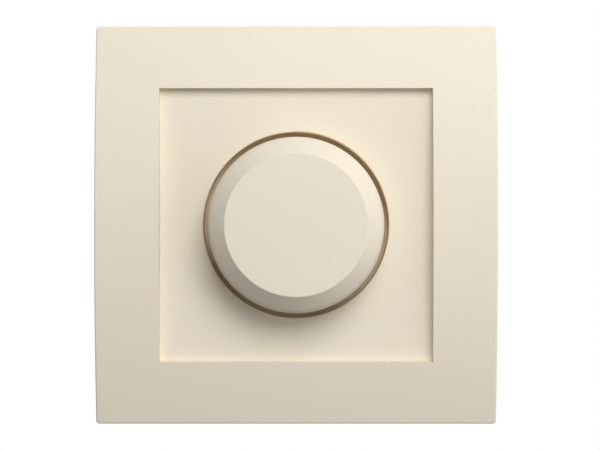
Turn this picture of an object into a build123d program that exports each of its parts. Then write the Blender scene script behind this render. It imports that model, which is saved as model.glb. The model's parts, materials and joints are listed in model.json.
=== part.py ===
from build123d import *
import os

# Flush rotary dimmer: a bowed cover frame, a centre plate with a knob in a sunk well, and the
# insert behind them, which stands in a round wall box.
# The wall is the plane Y = 0 and the knob turns about the Y axis. Heights are counted out from the
# wall towards the room (-Y), so negative heights lie inside the wall box. All sizes are millimetres.

# ---- cover frame and centre plate ----
frame_width = 82.0
frame_height = 81.5
frame_corner = 0.7
frame_crown = 10.5
frame_edge_height = 6.5
frame_side_wall = 2.0
frame_shell = 1.8
frame_rim_round = 0.35
window_size = 55.8
collar_width = 61.0
collar_foot = 3.0
plate_size = 58.0
plate_front = 7.0
plate_thickness = 1.8
plate_pocket_gap = 0.3
plate_face_gap = 0.05
skirt_width = 56.0
skirt_wall = 1.2
well_radius = 19.0
well_wall = 1.5
well_floor = 1.6
well_edge_round = 0.3
plate_rib_height = 1.6
plate_rib_thickness = 1.2
plate_rib_reach = 38.08

# ---- knob and shaft ----
push_travel = 1.5
knob_radius = 17.75
knob_foot = 5.0
knob_front = 18.0
knob_face_radius = 14.3
knob_shoulder = 14.78
knob_shoulder_round = 2.6
knob_face_round = 0.25
knob_wall = 1.8
knob_hub_radius = 5.2
knob_hub_foot = 8.2
shaft_radius = 3.0
shaft_flat = 1.5
shaft_top = 15.0
seat_gap = 0.02
running_gap = 0.08

# ---- steel support frame and its fixings ----
steel = 1.2
support_size = 70.5
support_corner = 4.0
box_screw_spacing = 60.0
box_slot_width = 4.0
box_slot_length = 6.4
wall_ring_step = 0.1
wall_ring_inner = 52.0
bushing_radius = 4.95
bushing_top = 6.2
bushing_flange_radius = 8.0
bushing_flange = 1.6
nut_across_flats = 14.0
nut_height = 2.2
rivet_radius = 1.25
rivet_head_radius = 1.9
rivet_head = 0.7
rivet_x = 8.0
rivet_z = 21.4

# ---- insert housing ----
insert_size = 50.0
insert_corner = 10.0
insert_wall = 1.5
notch_face = 18.0
notch_half_height = 7.6
split_height = -15.0
insert_back = -23.0
board_thickness = 1.6
boss_places = ((-13.5, 20.5), (13.5, 20.5), (-17.5, -17.5), (17.5, -17.5))
boss_radius = 2.3
housing_screw_radius = 1.0
housing_screw_top = -5.0
screw_head_radius = 2.0
screw_head = 1.6
vent_length = 15.0
vent_width = 1.8
vent_pitch = 4.2
vent_z = 6.0

# ---- potentiometer and push switch ----
case_radius = 9.5
case_wall = 0.8
case_back = -8.7
case_lid_back = -2.6
case_lid_opening = 5.5
pin_places = (-5.0, 0.0, 5.0)
pin_row_z = 10.25
pin_thickness = 0.5
switch_size = 15.0
contact_x = 4.5
contact_size = 1.4
spring_z = 3.2

# ---- claws ----
claw_pivot_x = 20.6
claw_pivot_height = -10.0
claw_half_width = 5.0
claw_screw_x = 23.4
claw_screw_radius = 1.45
pivot_pin_radius = 0.8

# ---- terminals ----
terminal_pitch = 9.5
wire_axis_z = -15.85
wire_hole_radius = 1.6
clamp_travel = 2.0
clamp_screw_height = -16.2
clamp_screw_radius = 1.4
block_width = 29.0
block_low_z = -25.0
block_high_z = -12.2
block_front = -10.0
block_back = -20.0
bay_gap = 0.1

# ---- minimum brightness trimmer ----
trimmer_x = -19.0
trimmer_z = -12.4
trimmer_stem_radius = 1.9

board_front = split_height
board_back = split_height - board_thickness
well_floor_height = steel + well_floor
sides = (-1, 1)
terminal_places = [terminal_pitch * k for k in (-1, 0, 1)]
rivet_places = [(rivet_x * a, rivet_z * b) for a in sides for b in sides]
contact_places = [(contact_x * a, 0) for a in sides]

# Half section through the knob axis. The first coordinate is the radius and the second the height.
section = Plane(origin=(0, 0, 0), x_dir=(1, 0, 0), z_dir=(0, 0, -1))


def face_at(height):
    """Plane parallel to the wall at a height, seen from the room: X right, Z up."""
    return Plane.XZ.offset(height)


def slab(low, high, width, height, places=((0, 0),), mode=Mode.ADD):
    """Rectangular blocks between two heights, centred on (x, z) places."""
    with BuildSketch(face_at(low)) as outline:
        with Locations(*places):
            Rectangle(width, height)
    extrude(outline.sketch, amount=high - low, mode=mode)


def bar(low, high, x_span, z_span, mode=Mode.ADD):
    """One rectangular block between two heights, given by its spans in X and Z."""
    middle = ((x_span[0] + x_span[1]) / 2, (z_span[0] + z_span[1]) / 2)
    slab(low, high, x_span[1] - x_span[0], z_span[1] - z_span[0], places=(middle,), mode=mode)


def post(low, high, radius, places=((0, 0),), mode=Mode.ADD):
    """Round posts between two heights, centred on (x, z) places."""
    with BuildSketch(face_at(low)) as outline:
        with Locations(*places):
            Circle(radius)
    extrude(outline.sketch, amount=high - low, mode=mode)


def rod(start, direction, length, radius, mode=Mode.ADD):
    """Round rod from a point along a direction."""
    with BuildSketch(Plane(origin=start, z_dir=direction)) as outline:
        Circle(radius)
    extrude(outline.sketch, amount=length, mode=mode)


def span_from(side, inner, outer):
    """Span in X or Z between two distances from the middle, on one side of it."""
    return sorted((side * inner, side * outer))


def turned(points, mode=Mode.ADD):
    """Solid of revolution about the knob axis from (radius, height) corners."""
    with BuildSketch(section) as outline:
        with BuildLine():
            Polyline(*points, close=True)
        make_face()
    revolve(outline.sketch, axis=Axis.Y, mode=mode)


def bowed_block(width, height, crown):
    """Block standing on the wall whose front is bowed about a horizontal axis."""
    rise = frame_crown - frame_edge_height
    half = frame_height / 2
    bow_radius = (half**2 + rise**2) / (2 * rise)
    inward = frame_crown - crown
    with BuildPart() as block:
        with BuildSketch(face_at(0)):
            Rectangle(width, height)
        extrude(amount=crown)
        with BuildSketch(Plane.YZ):
            with Locations((bow_radius - frame_crown, 0)):
                Circle(bow_radius - inward)
        extrude(amount=width, both=True, mode=Mode.INTERSECT)
    return block.part


def insert_outline(inset):
    """Eight-sided outline of the insert, notched left and right for the claws."""
    with BuildSketch() as outline:
        Rectangle(insert_size, insert_size)
        chamfer(outline.vertices(), insert_corner)
        for side in sides:
            with Locations((side * (notch_face + insert_size / 2), 0)):
                Rectangle(insert_size, 2 * notch_half_height, mode=Mode.SUBTRACT)
        if inset:
            offset(amount=-inset, kind=Kind.INTERSECTION, mode=Mode.REPLACE)
    return outline.sketch


def insert_shape(low, high, inset, mode=Mode.ADD):
    """Prism with the insert's outline between two heights."""
    extrude(face_at(low) * insert_outline(inset), amount=high - low, mode=mode)


def d_seat(low, high, gap, mode=Mode.ADD):
    """Round bar with one flat, where the knob sits on its shaft."""
    with BuildSketch(face_at(low)) as outline:
        Circle(shaft_radius + gap)
        with Locations((0, shaft_flat + gap + shaft_radius)):
            Rectangle(4 * shaft_radius, 2 * shaft_radius, mode=Mode.SUBTRACT)
    extrude(outline.sketch, amount=high - low, mode=mode)


def drive_bar(low, high, gap, mode=Mode.ADD):
    """Round bar with two flats, which drives the wiper but slides through it."""
    with BuildSketch(face_at(low)) as outline:
        Circle(drive_radius + gap)
        Rectangle(2 * (drive_flat + gap), 4 * drive_radius, mode=Mode.INTERSECT)
    extrude(outline.sketch, amount=high - low, mode=mode)


os.makedirs("parts", exist_ok=True)

# ======== cover frame ========
cavity_width = frame_width - 2 * frame_side_wall
cavity_height = frame_height - 2 * frame_side_wall
cavity = bowed_block(cavity_width, cavity_height, frame_crown - frame_shell)
with BuildPart() as inner_space:
    add(cavity)
    slab(0, frame_crown, collar_width, collar_width, mode=Mode.SUBTRACT)
    slab(0, collar_foot, collar_width, collar_width)

rib_foot = 1.5
rib_top_sides = 6.0
rib_top_ends = 4.4
rib_thickness = 1.2
rib_depth = 1.6
rib_spacing = 24.0
rib_reach = (cavity_width - 1.0) / 2
rib_reach_ends = (cavity_height - 1.0) / 2
with BuildPart() as cover_frame:
    add(bowed_block(frame_width, frame_height, frame_crown))
    fillet(cover_frame.edges().filter_by(Axis.Y), frame_corner)
    front = cover_frame.faces().sort_by(Axis.Y)[0]
    fillet(front.edges(), frame_rim_round)
    add(inner_space.part, mode=Mode.SUBTRACT)
    pocket = plate_size + 2 * plate_pocket_gap
    slab(0, plate_front + plate_face_gap, pocket, pocket, mode=Mode.SUBTRACT)
    slab(0, frame_crown, window_size, window_size, mode=Mode.SUBTRACT)
    for side in sides:
        for along in (-rib_spacing, 0.0, rib_spacing):
            side_rib = ((side * rib_reach, along),)
            slab(rib_foot, rib_top_sides, rib_depth, rib_thickness, places=side_rib)
            end_rib = ((along, side * rib_reach_ends),)
            slab(rib_foot, rib_top_ends, rib_thickness, rib_depth, places=end_rib)
cover_frame.part.label = "cover_frame"
export_step(cover_frame.part, "parts/cover_frame.step")

# ======== centre plate ========
plate_back = plate_front - plate_thickness
well_outer = well_radius + well_wall
skirt_inner = skirt_width - 2 * skirt_wall
bushing_hole_gap = 0.15
with BuildPart() as centre_plate:
    slab(plate_back, plate_front, plate_size, plate_size)
    slab(steel, plate_back, skirt_width, skirt_width)
    slab(steel, plate_back, skirt_inner, skirt_inner, mode=Mode.SUBTRACT)
    for turn in (45, 135):
        with BuildSketch(face_at(steel + plate_rib_height)) as rib:
            Rectangle(plate_rib_thickness, 2 * plate_rib_reach, rotation=turn)
            Rectangle(skirt_width, skirt_width, mode=Mode.INTERSECT)
        extrude(rib.sketch, amount=plate_back - steel - plate_rib_height)
    post(steel, plate_back, well_outer)
    post(well_floor_height, plate_front, well_radius, mode=Mode.SUBTRACT)
    post(steel, well_floor_height, bushing_radius + bushing_hole_gap, mode=Mode.SUBTRACT)
    mouth = centre_plate.edges().filter_by(GeomType.CIRCLE).sort_by(Axis.Y)[0]
    fillet(mouth, well_edge_round)
centre_plate.part.label = "centre_plate"
export_step(centre_plate.part, "parts/centre_plate.step")

# ======== nut that clamps the centre plate ========
nut_thread_gap = 0.03
with BuildPart() as plate_nut:
    with BuildSketch(face_at(well_floor_height)):
        RegularPolygon(nut_across_flats / 2, 6, major_radius=False)
        Circle(bushing_radius + nut_thread_gap, mode=Mode.SUBTRACT)
    extrude(amount=nut_height)
plate_nut.part.label = "plate_nut"
export_step(plate_nut.part, "parts/plate_nut.step")

# ======== steel support frame ========
# Its outer ring lies on the wall, and the middle is pressed back a little so the insert sits flush.
lug_half_gap = claw_half_width + 0.7
lug_thickness = 1.0
lug_width = 3.4
lug_reach = claw_pivot_height - 1.9
pivot_hole_gap = 0.02
claw_screw_hole = 1.7
trimmer_hole = trimmer_stem_radius + 0.4
pivot_reach = 2 * (lug_half_gap + lug_thickness)
with BuildPart() as support_frame:
    with BuildSketch(face_at(0)):
        RectangleRounded(support_size, support_size, support_corner)
        Circle(bushing_radius + 0.05, mode=Mode.SUBTRACT)
        with Locations(*[(side * box_screw_spacing / 2, 0) for side in sides]):
            SlotOverall(box_slot_length, box_slot_width, mode=Mode.SUBTRACT)
        with Locations(*[(0, side * box_screw_spacing / 2) for side in sides]):
            SlotOverall(box_slot_length, box_slot_width, rotation=90, mode=Mode.SUBTRACT)
        with Locations(*[(side * claw_screw_x, 0) for side in sides]):
            Circle(claw_screw_hole, mode=Mode.SUBTRACT)
        with Locations((trimmer_x, trimmer_z)):
            Circle(trimmer_hole, mode=Mode.SUBTRACT)
        with Locations(*rivet_places):
            Circle(rivet_radius, mode=Mode.SUBTRACT)
    extrude(amount=steel)
    with BuildSketch(face_at(0)) as pressed_back:
        Rectangle(wall_ring_inner, wall_ring_inner)
        chamfer(pressed_back.vertices(), insert_corner)
    extrude(pressed_back.sketch, amount=wall_ring_step, mode=Mode.SUBTRACT)
    for side in sides:
        for above in sides:
            lug_place = ((side * claw_pivot_x, above * (lug_half_gap + lug_thickness / 2)),)
            slab(lug_reach, wall_ring_step, lug_width, lug_thickness, places=lug_place)
        lug_start = (side * claw_pivot_x, -claw_pivot_height, -pivot_reach)
        rod(lug_start, (0, 0, 1), 2 * pivot_reach, pivot_pin_radius + pivot_hole_gap, mode=Mode.SUBTRACT)
support_frame.part.label = "support_frame"
export_step(support_frame.part, "parts/support_frame.step")

# ======== insert housing, front and rear shells ========
boss_hole_top = -4.0
head_recess_radius = 2.1
bay_x = (-block_width / 2 - bay_gap, block_width / 2 + bay_gap)
bay_z = (block_low_z - 1, block_high_z + bay_gap)
with BuildPart() as housing_front:
    insert_shape(split_height, wall_ring_step, 0)
    insert_shape(split_height, -insert_wall, insert_wall, mode=Mode.SUBTRACT)
    post(split_height, -insert_wall, boss_radius, places=boss_places)
    insert_shape(split_height, wall_ring_step, 0, mode=Mode.INTERSECT)
    post(split_height, boss_hole_top, housing_screw_radius, places=boss_places, mode=Mode.SUBTRACT)
    bar(split_height, block_front + bay_gap, bay_x, bay_z, mode=Mode.SUBTRACT)
    post(-insert_wall, wall_ring_step, bushing_flange_radius + 0.1, mode=Mode.SUBTRACT)
    trimmer_spot = ((trimmer_x, trimmer_z),)
    post(-insert_wall, wall_ring_step, trimmer_hole, places=trimmer_spot, mode=Mode.SUBTRACT)
    post(-insert_wall, wall_ring_step, rivet_radius, places=rivet_places, mode=Mode.SUBTRACT)
housing_front.part.label = "housing_front"
export_step(housing_front.part, "parts/housing_front.step")

screw_hole = housing_screw_radius + 0.1
with BuildPart() as housing_rear:
    insert_shape(insert_back, split_height, 0)
    insert_shape(insert_back + insert_wall, split_height, insert_wall, mode=Mode.SUBTRACT)
    post(insert_back, board_back, boss_radius, places=boss_places)
    insert_shape(insert_back, split_height, 0, mode=Mode.INTERSECT)
    post(insert_back, split_height, screw_hole, places=boss_places, mode=Mode.SUBTRACT)
    post(insert_back, insert_back + screw_head, head_recess_radius, places=boss_places, mode=Mode.SUBTRACT)
    bar(insert_back, split_height, bay_x, bay_z, mode=Mode.SUBTRACT)
    with BuildSketch(face_at(insert_back)) as vents:
        with GridLocations(vent_pitch, 0, 5, 1):
            with Locations((0, vent_z)):
                SlotOverall(vent_length, vent_width, rotation=90)
    extrude(vents.sketch, amount=insert_wall, mode=Mode.SUBTRACT)
housing_rear.part.label = "housing_rear"
export_step(housing_rear.part, "parts/housing_rear.step")

cross_length = 2.4
cross_width = 0.6
cross_depth = 0.8
with BuildPart() as housing_screws:
    post(insert_back, insert_back + screw_head, screw_head_radius, places=boss_places)
    post(insert_back + screw_head, housing_screw_top, housing_screw_radius, places=boss_places)
    with BuildSketch(face_at(insert_back)) as recess:
        with Locations(*boss_places):
            Rectangle(cross_length, cross_width)
            Rectangle(cross_width, cross_length)
    extrude(recess.sketch, amount=cross_depth, mode=Mode.SUBTRACT)
housing_screws.part.label = "housing_screws"
export_step(housing_screws.part, "parts/housing_screws.step")

with BuildPart() as housing_rivets:
    post(-insert_wall - rivet_head, -insert_wall, rivet_head_radius, places=rivet_places)
    post(-insert_wall, steel, rivet_radius, places=rivet_places)
    post(steel, steel + rivet_head, rivet_head_radius, places=rivet_places)
housing_rivets.part.label = "housing_rivets"
export_step(housing_rivets.part, "parts/housing_rivets.step")

# ======== potentiometer ========
pin_z = (6.0, 10.5)
pin_half = 0.6
pin_leg = (10.0, 10.5)
pin_leg_half = 0.5
solder_reach = 1.2
with BuildPart() as potentiometer_bushing:
    turned(((0, -bushing_flange), (bushing_flange_radius, -bushing_flange),
            (bushing_flange_radius, wall_ring_step), (bushing_radius, wall_ring_step),
            (bushing_radius, bushing_top), (0, bushing_top)))
    post(-bushing_flange, bushing_top, shaft_radius + running_gap, mode=Mode.SUBTRACT)
potentiometer_bushing.part.label = "potentiometer_bushing"
export_step(potentiometer_bushing.part, "parts/potentiometer_bushing.step")

with BuildPart() as potentiometer_case:
    post(case_back, -bushing_flange, case_radius)
    post(case_back, case_lid_back, case_radius - case_wall, mode=Mode.SUBTRACT)
    post(case_lid_back, -bushing_flange, case_lid_opening, mode=Mode.SUBTRACT)
    for pin_x in pin_places:
        pin_notch = (pin_x - pin_half - 0.1, pin_x + pin_half + 0.1)
        bar(case_back, case_back + pin_thickness, pin_notch, pin_z, mode=Mode.SUBTRACT)
potentiometer_case.part.label = "potentiometer_case"
export_step(potentiometer_case.part, "parts/potentiometer_case.step")

wafer_back = case_back + pin_thickness
wafer_front = -7.2
wafer_hole = 3.6
with BuildPart() as resistor_wafer:
    post(wafer_back, wafer_front, case_radius - case_wall)
    post(wafer_back, wafer_front, wafer_hole, mode=Mode.SUBTRACT)
resistor_wafer.part.label = "resistor_wafer"
export_step(resistor_wafer.part, "parts/resistor_wafer.step")

outer_track = (6.2, 7.8)
inner_track = (4.2, 5.4)
track_gap = 4.0
track_thickness = 0.12
with BuildPart() as carbon_track:
    with BuildSketch(face_at(wafer_front)) as tracks:
        Circle(outer_track[1])
        Circle(outer_track[0], mode=Mode.SUBTRACT)
        with Locations((0, sum(outer_track) / 2)):
            Rectangle(track_gap, track_gap, mode=Mode.SUBTRACT)
        Circle(inner_track[1])
        Circle(inner_track[0], mode=Mode.SUBTRACT)
    extrude(tracks.sketch, amount=track_thickness)
carbon_track.part.label = "carbon_track"
export_step(carbon_track.part, "parts/carbon_track.step")

with BuildPart() as potentiometer_pins:
    for pin_x in pin_places:
        bar(case_back, wafer_back, (pin_x - pin_half, pin_x + pin_half), pin_z)
        bar(board_back - solder_reach, wafer_back, (pin_x - pin_leg_half, pin_x + pin_leg_half), pin_leg)
potentiometer_pins.part.label = "potentiometer_pins"
export_step(potentiometer_pins.part, "parts/potentiometer_pins.step")

# ---- wiper, which turns with the shaft ----
drive_radius = 2.6
drive_flat = 1.9
collar_radius = 4.2
collar_top = -1.75
carrier_back = -6.6
carrier_step = -4.6
carrier_front = -2.75
carrier_radius = 8.2
carrier_neck = 5.2
carrier_floor = -4.5
with BuildPart() as wiper_carrier:
    turned(((0, carrier_back), (carrier_radius, carrier_back), (carrier_radius, carrier_step),
            (carrier_neck, carrier_step), (carrier_neck, carrier_front), (0, carrier_front)))
    post(carrier_floor, carrier_front, collar_radius + 0.2, mode=Mode.SUBTRACT)
    drive_bar(carrier_back, carrier_floor, running_gap, mode=Mode.SUBTRACT)
wiper_carrier.part.label = "wiper_carrier"
export_step(wiper_carrier.part, "parts/wiper_carrier.step")

wiper_sheet = 0.2
finger_half = (1.2, 0.4)
finger_places = (4.8, 7.0)
with BuildPart() as wiper:
    bar(carrier_back - wiper_sheet, carrier_back, (-1.6, 1.6), (3.6, 7.8))
    for finger_z in finger_places:
        finger_span = (finger_z - finger_half[1], finger_z + finger_half[1])
        finger_low = carrier_back - 2 * wiper_sheet
        bar(finger_low, carrier_back - wiper_sheet, (-finger_half[0], finger_half[0]), finger_span)
wiper.part.label = "wiper"
export_step(wiper.part, "parts/wiper.step")

# ---- shaft, which turns and also pushes ----
shaft_end = -9.6
shaft_step = bushing_top + 0.8
with BuildPart() as control_shaft:
    post(collar_top, shaft_step, shaft_radius)
    d_seat(shaft_step, shaft_top, 0)
    post(case_lid_back, collar_top, collar_radius)
    drive_bar(shaft_end, case_lid_back, 0)
control_shaft.part.label = "control_shaft"
export_step(control_shaft.part, "parts/control_shaft.step")

# ======== knob ========
ceiling = knob_front - 2.2
knob_inner = knob_radius - knob_wall
knob_inner_shoulder = 12.8
knob_inner_face = 13.0
knob_rib_foot = 12.0
knob_rib_reach = 12.9
knob_rib_thickness = 1.0
with BuildPart() as knob:
    turned(((0, knob_foot), (knob_radius, knob_foot), (knob_radius, knob_shoulder),
            (knob_face_radius, knob_front), (0, knob_front)))
    rims = knob.edges().filter_by(GeomType.CIRCLE).sort_by(Axis.Y)
    fillet(rims[1], knob_shoulder_round)
    rims = knob.edges().filter_by(GeomType.CIRCLE).sort_by(Axis.Y)
    fillet(rims[0], knob_face_round)
    fillet(rims[-1], knob_face_round)
    turned(((0, knob_foot), (knob_inner, knob_foot), (knob_inner, knob_inner_shoulder),
            (knob_inner_face, ceiling), (0, ceiling)), mode=Mode.SUBTRACT)
    post(knob_hub_foot, ceiling, knob_hub_radius)
    for turn in (0, 45, 90, 135):
        with BuildSketch(face_at(knob_rib_foot)) as rib:
            Rectangle(2 * knob_inner, knob_rib_thickness, rotation=turn)
            Circle(knob_hub_radius - 0.5, mode=Mode.SUBTRACT)
            Circle(knob_rib_reach, mode=Mode.INTERSECT)
        extrude(rib.sketch, amount=ceiling - knob_rib_foot)
    d_seat(knob_hub_foot, shaft_top, seat_gap, mode=Mode.SUBTRACT)
knob.part.label = "knob"
export_step(knob.part, "parts/knob.step")

ring_foot = 9.0
ring_height = 2.2
ring_thickness = 0.5
ring_gap = 2.0
with BuildPart() as knob_spring_ring:
    with BuildSketch(face_at(ring_foot)):
        Circle(knob_hub_radius + ring_thickness)
        Circle(knob_hub_radius, mode=Mode.SUBTRACT)
        with Locations((0, -knob_hub_radius)):
            Rectangle(ring_gap, 2 * ring_gap, mode=Mode.SUBTRACT)
    extrude(amount=ring_height)
knob_spring_ring.part.label = "knob_spring_ring"
export_step(knob_spring_ring.part, "parts/knob_spring_ring.step")

# ======== push switch behind the potentiometer ========
switch_wall = 0.8
switch_inner = switch_size - 2.0
plunger_hole = 3.4
with BuildPart() as switch_case:
    slab(board_front, case_back, switch_size, switch_size)
    slab(board_front + switch_wall, case_back - switch_wall, switch_inner, switch_inner, mode=Mode.SUBTRACT)
    post(case_back - switch_wall, case_back, plunger_hole, mode=Mode.SUBTRACT)
    slab(board_front, board_front + switch_wall, contact_size, contact_size, places=contact_places,
         mode=Mode.SUBTRACT)
switch_case.part.label = "switch_case"
export_step(switch_case.part, "parts/switch_case.step")

plunger_face = shaft_end - 0.05
plunger_radius = 2.9
plunger_foot = 9.0
plunger_step = -11.0
stud_radius = 0.7
bridge_back = -12.4
bridge_front = bridge_back + 0.3
contact_top = bridge_back - push_travel - 0.1
with BuildPart() as fixed_contacts:
    slab(board_back - solder_reach, contact_top, contact_size, contact_size, places=contact_places)
fixed_contacts.part.label = "fixed_contacts"
export_step(fixed_contacts.part, "parts/fixed_contacts.step")

with BuildPart() as switch_plunger:
    post(plunger_step, plunger_face, plunger_radius)
    slab(bridge_front, plunger_step, plunger_foot, plunger_foot)
    post(bridge_back, bridge_front, stud_radius)
switch_plunger.part.label = "switch_plunger"
export_step(switch_plunger.part, "parts/switch_plunger.step")

bridge_length = 11.0
bridge_width = 2.2
with BuildPart() as contact_bridge:
    with BuildSketch(face_at(bridge_back)) as strip:
        Rectangle(bridge_length, bridge_width)
        Circle(stud_radius, mode=Mode.SUBTRACT)
    extrude(strip.sketch, amount=bridge_front - bridge_back)
contact_bridge.part.label = "contact_bridge"
export_step(contact_bridge.part, "parts/contact_bridge.step")

# The return springs are as short here as they are when the knob is pushed right in.
spring_outer = 1.2
spring_inner = 0.85
spring_back = -12.7
spring_places = ((0, spring_z), (0, -spring_z))
with BuildPart() as plunger_springs:
    post(spring_back, bridge_front, spring_outer, places=spring_places)
    post(spring_back, bridge_front, spring_inner, places=spring_places, mode=Mode.SUBTRACT)
plunger_springs.part.label = "plunger_springs"
export_step(plunger_springs.part, "parts/plunger_springs.step")

# ======== circuit board ========
board_edge_gap = 0.3
board_low_z = -10.2
board_foot_x = (15.0, 21.9)
board_foot_low = -15.0
pin_slot = (1.5, 0.9)
contact_slot = 1.5
with BuildPart() as circuit_board:
    insert_shape(board_back, board_front, insert_wall + board_edge_gap)
    below = (-insert_size, board_low_z)
    bar(board_back, board_front, (-insert_size, insert_size), below, mode=Mode.SUBTRACT)
    for side in sides:
        bar(board_back, board_front, span_from(side, *board_foot_x), (board_foot_low, board_low_z))
    post(board_back, board_front, boss_radius + 0.2, places=boss_places, mode=Mode.SUBTRACT)
    pin_slots = [(x, pin_row_z) for x in pin_places]
    slab(board_back, board_front, *pin_slot, places=pin_slots, mode=Mode.SUBTRACT)
    slab(board_back, board_front, contact_slot, contact_slot, places=contact_places, mode=Mode.SUBTRACT)
circuit_board.part.label = "circuit_board"
export_step(circuit_board.part, "parts/circuit_board.step")

# ---- interference choke, a ferrite bobbin and its winding ----
choke_place = ((-16.2, 13.9),)
choke_top = board_front + 10.0
choke_flange = 1.2
flange_radius = 4.4
winding_radius = 3.9
bobbin_radius = 2.2
winding_low = board_front + choke_flange
winding_high = choke_top - choke_flange
with BuildPart() as choke_core:
    post(board_front, winding_low, flange_radius, places=choke_place)
    post(winding_low, winding_high, bobbin_radius, places=choke_place)
    post(winding_high, choke_top, flange_radius, places=choke_place)
choke_core.part.label = "choke_core"
export_step(choke_core.part, "parts/choke_core.step")

with BuildPart() as choke_winding:
    post(winding_low, winding_high, winding_radius, places=choke_place)
    post(winding_low, winding_high, bobbin_radius, places=choke_place, mode=Mode.SUBTRACT)
choke_winding.part.label = "choke_winding"
export_step(choke_winding.part, "parts/choke_winding.step")

# ---- triac on its heat sink ----
sink_face = 11.7
sink_sheet = 1.5
sink_span = (9.9, 19.5)
sink_reach = 17.6
triac_span = (10.2, 19.2)
triac_x = 14.7
triac_foot = -12.6
triac_step = -6.4
triac_top = -3.2
triac_depth = 4.2
tab_depth = 1.2
lead_pitch = 2.5
lead_size = (0.8, 0.6)
lead_z = sink_face + 2.0
tab_screw_depth = 4.6
tab_hole_radius = 1.55
tab_screw_radius = 1.5
tab_nut_radius = 1.35
with BuildPart() as heat_sink:
    bar(board_front, -insert_wall, sink_span, (sink_face - sink_sheet, sink_face))
    bar(-insert_wall - sink_sheet, -insert_wall, sink_span, (sink_face, sink_reach))
    sink_hole_start = (triac_x, tab_screw_depth, sink_face - sink_sheet)
    rod(sink_hole_start, (0, 0, 1), sink_sheet, tab_hole_radius, mode=Mode.SUBTRACT)
heat_sink.part.label = "heat_sink"
export_step(heat_sink.part, "parts/heat_sink.step")

tab_start = (triac_x, tab_screw_depth, sink_face)
with BuildPart() as triac:
    bar(triac_foot, triac_step, triac_span, (sink_face, sink_face + triac_depth))
    bar(triac_step, triac_top, triac_span, (sink_face, sink_face + tab_depth))
    rod(tab_start, (0, 0, 1), tab_depth, tab_hole_radius, mode=Mode.SUBTRACT)
triac.part.label = "triac"
export_step(triac.part, "parts/triac.step")

with BuildPart() as triac_leads:
    lead_places = [(triac_x + lead_pitch * k, lead_z) for k in (-1, 0, 1)]
    slab(board_front, triac_foot, *lead_size, places=lead_places)
triac_leads.part.label = "triac_leads"
export_step(triac_leads.part, "parts/triac_leads.step")

tab_nut_depth = 1.6
with BuildPart() as triac_screw:
    rod(sink_hole_start, (0, 0, 1), sink_sheet + tab_depth, tab_screw_radius)
    rod((triac_x, tab_screw_depth, sink_face + tab_depth), (0, 0, 1), tab_nut_depth, tab_nut_radius)
triac_screw.part.label = "triac_screw"
export_step(triac_screw.part, "parts/triac_screw.step")

# ---- capacitors, resistors and trigger diode ----
suppression_height = 10.5
suppression_round = 0.5
timing_height = 6.5
timing_round = 0.4
with BuildPart() as suppression_capacitor:
    bar(board_front, board_front + suppression_height, (15.4, 21.7), (-14.8, -10.4))
    fillet(suppression_capacitor.edges().filter_by(Axis.Y), suppression_round)
suppression_capacitor.part.label = "suppression_capacitor"
export_step(suppression_capacitor.part, "parts/suppression_capacitor.step")

with BuildPart() as timing_capacitor:
    bar(board_front, board_front + timing_height, (-3.6, 3.6), (14.4, 16.9))
    fillet(timing_capacitor.edges().filter_by(Axis.Y), timing_round)
timing_capacitor.part.label = "timing_capacitor"
export_step(timing_capacitor.part, "parts/timing_capacitor.step")

resistor_radius = 1.1
resistor_length = 6.0
resistor_places = ((-12.4, 4.0), (12.4, 4.0), (12.4, -4.0))
with BuildPart() as resistors:
    for resistor_x, resistor_z in resistor_places:
        resistor_start = (resistor_x, -board_front - resistor_radius, resistor_z - resistor_length / 2)
        rod(resistor_start, (0, 0, 1), resistor_length, resistor_radius)
resistors.part.label = "resistors"
export_step(resistors.part, "parts/resistors.step")

diode_radius = 0.9
diode_length = 4.0
diode_z = 12.6
with BuildPart() as trigger_diode:
    diode_start = (-diode_length / 2, -board_front - diode_radius, diode_z)
    rod(diode_start, (1, 0, 0), diode_length, diode_radius)
trigger_diode.part.label = "trigger_diode"
export_step(trigger_diode.part, "parts/trigger_diode.step")

# ======== fuse ========
fuse_z = 20.4
fuse_depth = 11.4
fuse_length = 18.8
fuse_glass_radius = 2.3
fuse_bore_radius = 1.7
fuse_wire_radius = 0.1
fuse_cap_radius = 2.6
fuse_cap_inner = 5.4
fuse_cap_length = 4.6
fuse_cap_end = 0.6
fuse_start = (-fuse_length / 2, fuse_depth, fuse_z)
with BuildPart() as fuse_glass:
    rod(fuse_start, (1, 0, 0), fuse_length, fuse_glass_radius)
    rod(fuse_start, (1, 0, 0), fuse_length, fuse_bore_radius, mode=Mode.SUBTRACT)
fuse_glass.part.label = "fuse_glass"
export_step(fuse_glass.part, "parts/fuse_glass.step")

with BuildPart() as fuse_caps:
    for side in sides:
        cap_start = (side * fuse_cap_inner, fuse_depth, fuse_z)
        bore_length = fuse_cap_length - fuse_cap_end
        rod(cap_start, (side, 0, 0), fuse_cap_length, fuse_cap_radius)
        rod(cap_start, (side, 0, 0), bore_length, fuse_glass_radius, mode=Mode.SUBTRACT)
fuse_caps.part.label = "fuse_caps"
export_step(fuse_caps.part, "parts/fuse_caps.step")

with BuildPart() as fuse_wire:
    rod(fuse_start, (1, 0, 0), fuse_length, fuse_wire_radius)
fuse_wire.part.label = "fuse_wire"
export_step(fuse_wire.part, "parts/fuse_wire.step")

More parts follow.
